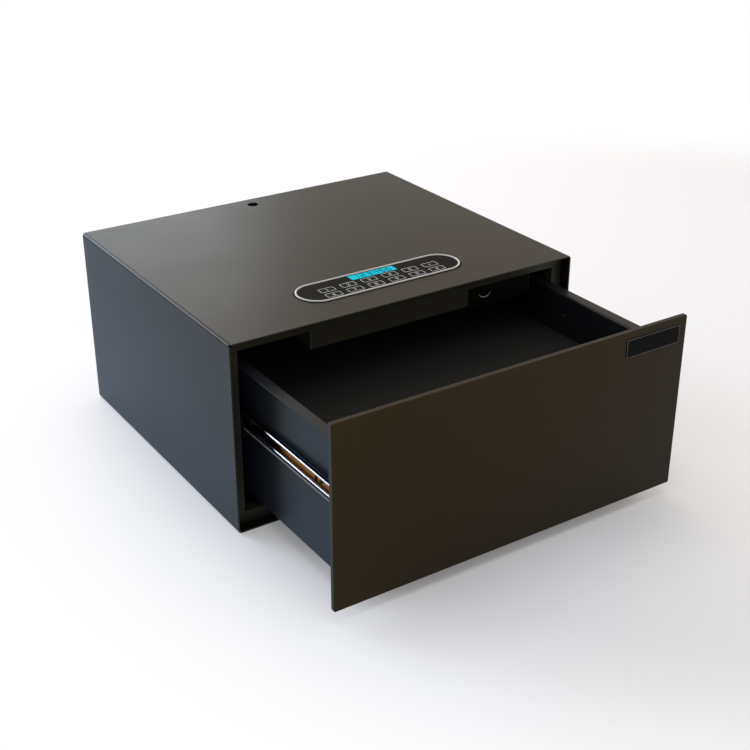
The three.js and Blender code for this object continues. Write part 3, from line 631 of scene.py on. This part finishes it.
keypad = {
    "bezelWidth": 2.4, "bezelFoot": 0.35,
    "gasketWidth": 1.7, "gasketHeight": 0.25, "gasketUnder": 0.6, "gasketSlope": 0.3, "gasketGap": 0.02,
    "keyEdge": 0.5, "keyCorner": 2.4, "outlineWidth": 0.7, "outlineInset": 0.7, "print": 0.03,
    "digitHeight": 6.0, "digitType": 1.35, "markType": 1.2,  # the last two: type size to height
    "bodyEdge": 0.15, "windowCorner": 0.6, "windowEdge": 0.12,
    "shown": "123456", "segmentHeight": 8.4, "segmentWidth": 1.25, "segmentPitch": 8.6,
    "segmentShape": 0.52, "segmentGap": 0.15,  # width to height, and the gap at each end
    "filmTop": 0.05, "segmentFoot": 0.049,  # both below the window's highest point
}
keyMarks = {"star": "*", "hash": "#"}


def textShell(text, size, centre, low, thickness):
    # lettering made a flat closed mesh, its middle at a place
    curve = bpy.data.curves.new("marks", "FONT")
    curve.body = text
    curve.size = size * mm
    curve.extrude = thickness * mm / 2
    curve.resolution_u = 3
    holder = placeObject("marks", curve)
    mesh = finalMesh(holder)
    points = np.empty(len(mesh.vertices) * 3)
    mesh.vertices.foreach_get("co", points)
    points = points.reshape(-1, 3) / mm
    faces = [list(polygon.vertices) for polygon in mesh.polygons]
    bpy.data.objects.remove(holder)
    bpy.data.meshes.remove(mesh)
    middle = (points.min(0) + points.max(0)) / 2
    points += np.array([*centre, low + thickness / 2]) - middle
    return points, faces


def printRing(outline, direction, inset, width, surface, thickness):
    # a flat line round an outline, its foot sunk as deep as it stands proud
    low, high = surface - thickness, surface + thickness
    profile = [(-inset, low), (-inset, high), (-inset - width, high), (-inset - width, low)]
    return gridShell(ringPoints(outline, direction, profile), closeRows=True)


def makeKeypad(k):
    low, high, middle, half = nodeSizes("keypad_bezel")
    outline, direction = roundEnded(half[0], half[1], 24, middle[:2])
    width = k["bezelWidth"]
    # the bezel's crown: a foot, then a sine to the power 0.7 across the width
    turn = np.linspace(0, math.pi, 9)
    foot = low[2] + k["bezelFoot"]
    crown = np.stack([-width / 2 + width / 2 * np.cos(turn),
                      foot + (high[2] - foot) * np.sin(turn) ** 0.7], -1)
    profile = np.concatenate([[[0, low[2]]], crown, [[-width, low[2]]]])
    addPiece("keypadBezel", gridShell(ringPoints(outline, direction, profile), closeRows=True), satinSilver,
             "cabinet", ["keypad_bezel"])
    # the gasket: a flat ring that starts under the bezel, its outer edge sloped
    foot, top = shellHigh[2] + k["gasketGap"], shellHigh[2] + k["gasketHeight"]
    under, wide = -k["gasketUnder"], k["gasketWidth"]
    gasket = [(under, foot), (wide, foot), (wide - k["gasketSlope"], top), (under, top)]
    addPiece("keypadGasket", gridShell(ringPoints(outline, direction, gasket), closeRows=True), blackRubber,
             "cabinet")
    softenNode("keypad_body", "keypadBody", matteFilm, k["bodyEdge"])
    softenNode("display_module", "displayModule", oxideSteel, k["bodyEdge"])
    softenNode("keypad_board", "keypadBoard", boardLacquer, k["bodyEdge"])
    print("keypad made")


def makeKeys(k):
    for node in [node for node in frame["nodes"] if node.startswith("key_")]:
        low, high, centre, half = nodeSizes(node)
        outline, direction = roundedOutline(half[0], half[1], k["keyCorner"], 7, centre[:2])
        surface = high[2] - k["print"]
        body = gridShell(platePoints(outline, direction, low[2], surface, k["keyEdge"], 5))
        ring = printRing(outline, direction, k["outlineInset"], k["outlineWidth"], surface, k["print"])
        mark = keyMarks.get(node[4:], node[4:])
        size = k["digitHeight"] * k["digitType" if mark.isdigit() else "markType"]
        letter = textShell(mark, size, centre[:2], surface - k["print"], 2 * k["print"])
        printFaces = len(ring[1]) + len(letter[1])
        addPiece(f"{node}Cap", joinShells([body, ring, letter]), [keyRubber, whitePrint], bodyOf[node],
                 [node], faceMaterial=[0] * len(body[1]) + [1] * printFaces)
    print("keys made")


# Segments of each number on the display, by their usual letters
digitSegments = {"1": "bc", "2": "abged", "3": "abgcd", "4": "fgbc", "5": "afgcd", "6": "afgedc"}


def makeDisplay(k):
    # each segment is a bar with pointed ends along a line of the digit's grid, 1 wide and 2 tall
    low, high, centre, half = nodeSizes("display_window")
    outline, direction = roundedOutline(half[0], half[1], k["windowCorner"], 4, centre[:2])
    window = platePoints(outline, direction, low[2], high[2] - k["filmTop"], k["windowEdge"], 3)
    addPiece("displayWindow", gridShell(window), litDisplay, "cabinet", ["display_window"])
    tall, wide = k["segmentHeight"], k["segmentHeight"] * k["segmentShape"]
    stroke = k["segmentWidth"]
    ends = {"a": ((0, 2), (1, 2)), "b": ((1, 2), (1, 1)), "c": ((1, 1), (1, 0)), "d": ((0, 0), (1, 0)),
            "e": ((0, 1), (0, 0)), "f": ((0, 2), (0, 1)), "g": ((0, 1), (1, 1))}
    shells = []
    for index, digit in enumerate(k["shown"]):
        left = centre[0] + (index - (len(k["shown"]) - 1) / 2) * k["segmentPitch"] - wide / 2
        bottom = centre[1] - tall / 2
        for letter in digitSegments[digit]:
            start, end = (np.array([left + x * wide, bottom + z * tall / 2]) for x, z in ends[letter])
            along = (end - start) / np.linalg.norm(end - start)
            side = np.array([-along[1], along[0]]) * stroke / 2
            start, end = start + along * k["segmentGap"], end - along * k["segmentGap"]
            tip = along * stroke / 2
            flat = np.array([start, start + tip + side, end - tip + side, end, end - tip - side,
                             start + tip - side])
            shells.append(gridShell(upright(flat, [high[2] - k["segmentFoot"], high[2]])))
    addPiece("displayDigits", joinShells(shells), displayInk, "cabinet")
    print("display made")


# Lock: motor block, bolt and strike

lock = {"motorEdge": 0.5, "boltEdge": 0.6, "strikeEdge": 0.3}


def makeLock(k):
    softenNode("lock_motor", "lockMotor", oxideSteel, k["motorEdge"])
    softenNode("lock_bolt", "lockBolt", zinc, k["boltEdge"])
    softenNode("strike_plate", "strikePlate", zinc, k["strikeEdge"])
    print("lock made")


# Drawer: tray of bent sheet, raised floor, front plate and badge plate

drawer = {
    "sheet": 1.2, "bend": 1.8, "floorEdge": 0.5,
    "endTop": 16.0, "endFoot": 0.6, "endEdge": 0.3, "endOverlap": 0.02,
    "frontEdgeRound": 0.8, "frontCorner": 1.8,
    "memberGap": 0.3, "bevel": 0.18,         # the space to the slides, and the break on the tray's edges
    "badgeEdge": 0.3, "badgeLine": 0.28, "badgeCorner": 1.2,
    "badgeBack": 0.02, "badgeSunk": 0.28, "badgeBevel": 0.35,   # the plate's face and foot, and the line's
}


def makeTray(d):
    # a sheet bent along a line through six corners, rim to rim, with an upright sheet at each end
    low, high = nodeBox("drawer_tray")
    memberLow, _ = nodeBox("drawer_member_right")
    outer = memberLow[0] - d["memberGap"]
    half = d["sheet"] / 2
    rim = high[0]
    corners = [(-rim, high[2] - half), (-outer + half, high[2] - half), (-outer + half, low[2] + half),
               (outer - half, low[2] + half), (outer - half, high[2] - half), (rim, high[2] - half)]
    body = alongY(stripOutline(corners, d["bend"], d["sheet"], 7), low[1], high[1])
    wallTop = high[2] - d["endTop"]
    inside = outer - d["sheet"] + d["endOverlap"]
    ends = []
    for near in (low[1], high[1] - d["sheet"]):
        ends.append(blockShell((-inside, near, low[2] + d["endFoot"]), (inside, near + d["sheet"], wallTop),
                               d["endEdge"]))
    addPiece("drawerTray", joinShells([body, *ends]), trayLitCoat, "drawer", ["drawer_tray"],
             bevel=d["bevel"])
    softenNode("inner_floor", "innerFloor", trayFloorLitCoat, d["floorEdge"])
    print("tray made")


def makeDrawerFront(d):
    low, high, centre, half = nodeSizes("drawer_front")
    outline, direction = roundedOutline(half[0], half[2], d["frontCorner"], 7, centre[[0, 2]])
    plate = frontal(platePoints(outline, direction, low[1], high[1], d["frontEdgeRound"], 6))
    addPiece("drawerFrontPlate", gridShell(plate), bronzeCoat, "drawer", ["drawer_front"])
    low, high, centre, half = nodeSizes("badge_plate")
    outline, direction = roundedOutline(half[0], half[2], d["badgeCorner"], 6, centre[[0, 2]])
    plate = frontal(platePoints(outline, direction, low[1] + d["badgeBack"], high[1] + d["badgeSunk"],
                                d["badgeEdge"], 4))
    addPiece("badgePlate", gridShell(plate), anodisedPlate, "drawer", ["badge_plate"])
    # the plate's bevel, cut through to the bare metal
    inner, back = -d["badgeLine"], low[1] + d["badgeBevel"]
    bevel = [(0.0, back), (0.0, low[1]), (inner, low[1]), (inner, back)]
    line = frontal(ringPoints(outline, direction, bevel))
    addPiece("badgeEdge", gridShell(line, closeRows=True), brightEdge, "drawer")
    print("drawer front made")


# Slides: rolled channels with curled lips, their faces coloured with painted reflections, shade and
# highlights, and the balls between them

slide = {
    "sheet": 1.0, "webBend": 2.3, "lipBend": 0.8, "lip": 1.7, "step": 0.3,
    # where the painted reflections, shade and highlights lie, as heights from the middle of the channel and
    # distances from web and tip
    "greaseHalf": 7.6, "raceLevel": 9.2, "raceFrom": 2.6, "raceTo": 0.75, "lipDepth": 1.1, "tipDepth": 0.1,
    "webDepth": 0.03,                        # how close to the web's face a point counts as on it
    "slotAt": -119.4, "slotDrop": 1.5, "slotWidth": 4.6, "slotHeight": 9.0, "slotPlug": 0.3,
    "bracketEdge": 0.25,
}


def channelOutline(webFace, tip, halfHeight, s):
    # half of the channel, up the web, round into the flange, out to the tip and round into the lip, at
    # even steps; then the half is mirrored and given the sheet's thickness
    sheet = s["sheet"]
    out = np.sign(tip - webFace)
    web = webFace + out * sheet / 2
    end = tip - out * sheet / 2
    top = halfHeight - sheet / 2
    corners = [(web, 0), (web, top), (end, top), (end, top - s["lip"])]
    bendOne, _ = bentPath(corners[:3], s["webBend"], 7)
    bendTwo, _ = bentPath(corners[1:], s["lipBend"], 6)
    path = np.concatenate([bendOne[:-1], bendTwo[1:]])
    length = np.concatenate([[0], np.cumsum(np.linalg.norm(np.diff(path, axis=0), axis=1))])
    even = np.arange(0, length[-1], s["step"])
    path = np.stack([np.interp(even, length, path[:, 0]), np.interp(even, length, path[:, 1])], -1)
    path = np.concatenate([path[:0:-1], path * [1, -1]])
    step = np.gradient(path, axis=0)
    step /= np.linalg.norm(step, axis=1)[:, None]
    normal = np.stack([-step[:, 1], step[:, 0]], -1) * sheet / 2
    return np.concatenate([path + normal, (path - normal)[::-1]])


def memberFinish(points, faces, webFace, tip, middle, s):
    # which material each face of a drawer member has, by its height and its distance from the web: painted
    # reflection and shade on web and races, a painted highlight on the lower lip
    plain, web, upperRace, lowerRace, lipEdge = range(5)
    centre = points[np.array(faces[:-2])].mean(1)
    out, level = abs(centre[:, 0]), abs(centre[:, 2] - middle)
    lower = centre[:, 2] < middle
    onWeb = (abs(out - webFace - s["sheet"]) < s["webDepth"]) & (level < s["greaseHalf"])
    inRace = (level > s["raceLevel"]) & (out > webFace + s["raceFrom"]) & (out < tip - s["raceTo"])
    onLip = (level < s["raceLevel"]) & (level > s["greaseHalf"]) & (out > tip - s["lipDepth"])
    finish = np.where(onWeb, web, plain)
    finish[inRace] = np.where(lower, lowerRace, upperRace)[inRace]
    finish[lower & onLip] = lipEdge
    finish[lower & (out > tip - s["tipDepth"])] = lowerRace  # the lip's outermost face
    return np.append(finish, [plain, plain])  # the channel's two ends


def makeSlides(s):
    for side, word in ((-1, "left"), (1, "right")):
        title = word.title()
        for kind, coat in (("drawer", [zinc, webReflectionAndShade, darkRacePaint, greyRacePaint, lipHighlightPaint]),
                           ("cabinet", [shadedZinc])):
            node = f"{kind}_member_{word}"
            low, high = nodeBox(node)
            near, far = sorted((abs(low[0]), abs(high[0])))
            webFace, tip = (near, far) if kind == "drawer" else (far, near)
            middle = (low[2] + high[2]) / 2
            section = channelOutline(webFace, tip, (high[2] - low[2]) / 2, s) * [side, 1] + [0, middle]
            points, faces = alongY(section, low[1], high[1])
            finish = None
            cutters = []
            if kind == "drawer":
                finish = memberFinish(points, faces, webFace, tip, middle, s)
                halfWidth, slotMiddle = s["slotWidth"] / 2, (s["slotAt"], middle - s["slotDrop"])
                slot, _ = roundEnded(halfWidth, s["slotHeight"] / 2, 6, slotMiddle)
                through = sorted((side * (webFace - 1), side * (webFace + 3)))  # well past both faces
                cutters.append(addCutter(gridShell(upright(slot, through)[..., [2, 0, 1]])))
                # a thin black sheet at the bottom of the slot: painted shade
                slotShadeSheet = upright(slot, sorted((side * webFace, side * (webFace + s["slotPlug"]))))
                addPiece(f"slideSlotShade{title}", gridShell(slotShadeSheet[..., [2, 0, 1]]), blackRubber, bodyOf[node])
            addPiece(f"{kind}Member{title}", (points, faces), coat, bodyOf[node], [node],
                     faceMaterial=finish, cutters=cutters, smoothAngle=60)
            dropCutters(cutters)
        softenNode(f"slide_bracket_{word}", f"slideBracket{title}", shadedZinc, s["bracketEdge"])
        cage = frame["nodes"][f"ball_cage_{word}"].data
        cage.materials.clear()
        cage.materials.append(ballSteel)
    print("slides made")


# Screws and rivets

screw = {
    "headHeight": 1.6, "rivetHeight": 0.9, "shank": 1.4,
    "domeShare": 0.93,  # how much of a full dome a head is
    "crossWidth": 1.0, "crossLength": 4.2, "crossDepth": 1.1,
    "crossDraft": 0.2, "crossWall": 0.25, "crossEnd": 0.5,  # how its walls slope
}


def headShell(axis, sign, centre, radius, height, foot, shankEnd, s, cross):
    # a pan head over a shank: rings round the axis, as high as the root of 1 less the radius to the fourth
    # power, dented by a cross where the smaller of |a| and |b| is small
    around = np.linspace(0, 2 * math.pi, 49)[:-1]
    share = np.array([0.0, 0.12, 0.22, 0.32, 0.42, 0.52, 0.62, 0.74, 0.86, 0.95, 1.0])
    a = radius * share[:, None] * np.cos(around)
    b = radius * share[:, None] * np.sin(around)
    dome = height * np.sqrt(np.clip(1 - (share[:, None] * s["domeShare"]) ** 4, 0, 1)) * np.ones_like(a)
    if cross:
        reach = np.maximum(abs(a), abs(b))
        thin = np.minimum(abs(a), abs(b))
        inCross = np.clip((s["crossWidth"] / 2 + s["crossDraft"] - thin) / s["crossWall"], 0, 1)
        inCross *= np.clip((s["crossLength"] / 2 - reach) / s["crossEnd"], 0, 1)
        dome = dome - s["crossDepth"] * inCross
    rings = np.array([(radius, 0.0), (s["shank"], 0.0), (s["shank"], shankEnd), (0.0, shankEnd)])
    a = np.concatenate([a, rings[:, :1] * np.cos(around)])
    b = np.concatenate([b, rings[:, :1] * np.sin(around)])
    level = np.concatenate([dome, rings[:, 1:] * np.ones_like(around)])
    points = np.stack([centre[0] + a, foot + sign * level, centre[1] + b], -1)
    return gridShell(points[..., [1, 0, 2]] if axis == "x" else points, caps=False)


def makeScrews(s):
    # start of the name, axis, head's height, which way it faces, finish and share of the node's radius
    tall, flat = s["headHeight"], s["rivetHeight"]
    # slide screws and rivets take the darkened zinc of painted shade
    kinds = (("slide_screw", "x", tall, 1, shadedZinc, 0.55), ("slide_rivet", "x", flat, -1, shadedZinc, 1.0),
             ("front_screw", "y", tall, 1, zinc, 1.0), ("tray_side_screw", "x", tall, -1, trayLitCoat, 0.6))
    for node in list(frame["nodes"]):
        for start, axis, height, outward, coat, share in kinds:
            if not node.startswith(start):
                continue
            low, high, middle, half = nodeSizes(node)
            along = "xy".index(axis)
            sign = outward if axis == "y" else outward * np.sign(low[0] + high[0])
            headEnd, tip = (high, low) if sign > 0 else (low, high)
            foot = headEnd[along] - sign * height
            centre = middle[[1, 2] if axis == "x" else [0, 2]]
            radius = half[2] * share
            shell = headShell(axis, sign, centre, radius, height, foot, -abs(tip[along] - foot), s,
                              cross=start != "slide_rivet")
            name = "".join(word.title() if i else word for i, word in enumerate(node.split("_")))
            addPiece(name, shell, coat, bodyOf[node], [node], smoothAngle=40)
    print("screws made")


# Floor and surroundings: pale floor under a white sky

surroundings = {  # metres and degrees
    "floorSize": 6.0, "skyLight": 0.45,
    "glow": 0.14,                            # share of plain white that the floor shows beside the object
    "whiteShift": (-0.57, -0.03, 0), "whiteFrom": 0.72, "whiteAt": 1.05,  # where it turns all white
    "boardAway": 3.3, "boardTurn": 50.0, "boardWidth": 3.0, "boardHeights": (0.75, 3.6), "boardGlow": 0.66,
}


def placeSheet(name, corners, material):
    # a flat sheet of four corners that isn't part of the object
    mesh = bpy.data.meshes.new(name)
    mesh.from_pydata(corners, [], [(0, 1, 2, 3)])
    mesh.materials.append(material)
    placeObject(name, mesh)


def seenRays(owner):
    # 1 for the rays that show the surroundings themselves: to the camera, in gloss and through glass
    paths = addNode(owner, "ShaderNodeLightPath")
    either = paths.outputs["Is Camera Ray"]
    for ray in ("Is Glossy Ray", "Is Transmission Ray"):
        most = addNode(owner, "ShaderNodeMath", {"operation": "MAXIMUM"}, {0: either, 1: paths.outputs[ray]})
        either = most.outputs["Value"]
    return either


def makeFloor(p):
    # matt white studio floor paint, which keeps the object's shadow; further out it is seen as plain white
    material, shader = newMaterial("mattWhiteFloorPaint", "#f6f6f7", 0.6)
    place = addNode(material, "ShaderNodeTexCoord")
    shifted = addNode(material, "ShaderNodeMapping", {"Location": p["whiteShift"]},
                      {"Vector": place.outputs["Object"]})
    away = addNode(material, "ShaderNodeVectorMath", {"operation": "LENGTH"}, {0: shifted.outputs["Vector"]})
    share = addNode(material, "ShaderNodeMapRange",
                    {"interpolation_type": "SMOOTHSTEP", "From Min": p["whiteFrom"], "From Max": p["whiteAt"],
                     "To Min": p["glow"], "To Max": 1.0}, {"Value": away.outputs["Value"]})
    seen = addNode(material, "ShaderNodeMath", {"operation": "MULTIPLY"},
                   {0: share.outputs["Result"], 1: seenRays(material)})
    white = addNode(material, "ShaderNodeEmission", {"Strength": 1.0})
    mix = addNode(material, "ShaderNodeMixShader", {},
                  {"Fac": seen.outputs["Value"], 1: shader.outputs["BSDF"], 2: white.outputs["Emission"]})
    tree = material.node_tree
    tree.links.new(mix.outputs["Shader"], tree.nodes["Material Output"].inputs["Surface"])
    size = p["floorSize"]
    placeSheet("floor", [(-size, -size, 0), (size, -size, 0), (size, size, 0), (-size, size, 0)], material)


def makeBoard(p):
    # a cream board that glows like a warm softbox and lights the object; it stands behind on the right, above
    # the camera's view
    wide, low, high = p["boardWidth"] / 2, *p["boardHeights"]
    turn = math.radians(p["boardTurn"])
    across = np.array([math.cos(turn), -math.sin(turn), 0])
    middle = np.array([math.sin(turn), math.cos(turn), 0]) * p["boardAway"]
    corners = [(middle + across * x + [0, 0, z]).tolist()
               for x, z in ((-wide, low), (wide, low), (wide, high), (-wide, high))]
    material, _ = newMaterial("creamFelt", "#c9a985", 0.9, Emission_Strength=p["boardGlow"],
                              Emission_Color="#ffd6a8")
    placeSheet("board", corners, material)


def makeSky(p):
    # an even pale sky that lights the object, and is seen as plain white
    world = bpy.data.worlds.new("studio")
    bpy.context.scene.world = world
    world.use_nodes = True
    tree = world.node_tree
    sky = tree.nodes["Background"]
    sky.inputs["Color"].default_value = hexColour("#f6f9ff")
    sky.inputs["Strength"].default_value = p["skyLight"]
    white = addNode(world, "ShaderNodeBackground", {"Color": (1, 1, 1, 1), "Strength": 1.0})
    mix = addNode(world, "ShaderNodeMixShader", {},
                  {"Fac": seenRays(world), 1: sky.outputs["Background"], 2: white.outputs["Background"]})
    tree.links.new(mix.outputs["Shader"], tree.nodes["World Output"].inputs["Surface"])


bpy.context.scene.view_settings.view_transform = "Standard"
makeCamera(cameraView)
for lampName, plan in lampPlan.items():
    addLamp(lampName, **plan)
makeFloor(surroundings)
makeBoard(surroundings)
makeSky(surroundings)
print("camera, lamps and surroundings made")
makeCabinet(cabinet)
makeBatteries(battery)
makeKeypad(keypad)
makeKeys(keypad)
makeDisplay(keypad)
makeLock(lock)
makeTray(drawer)
makeDrawerFront(drawer)
makeSlides(slide)
makeScrews(screw)
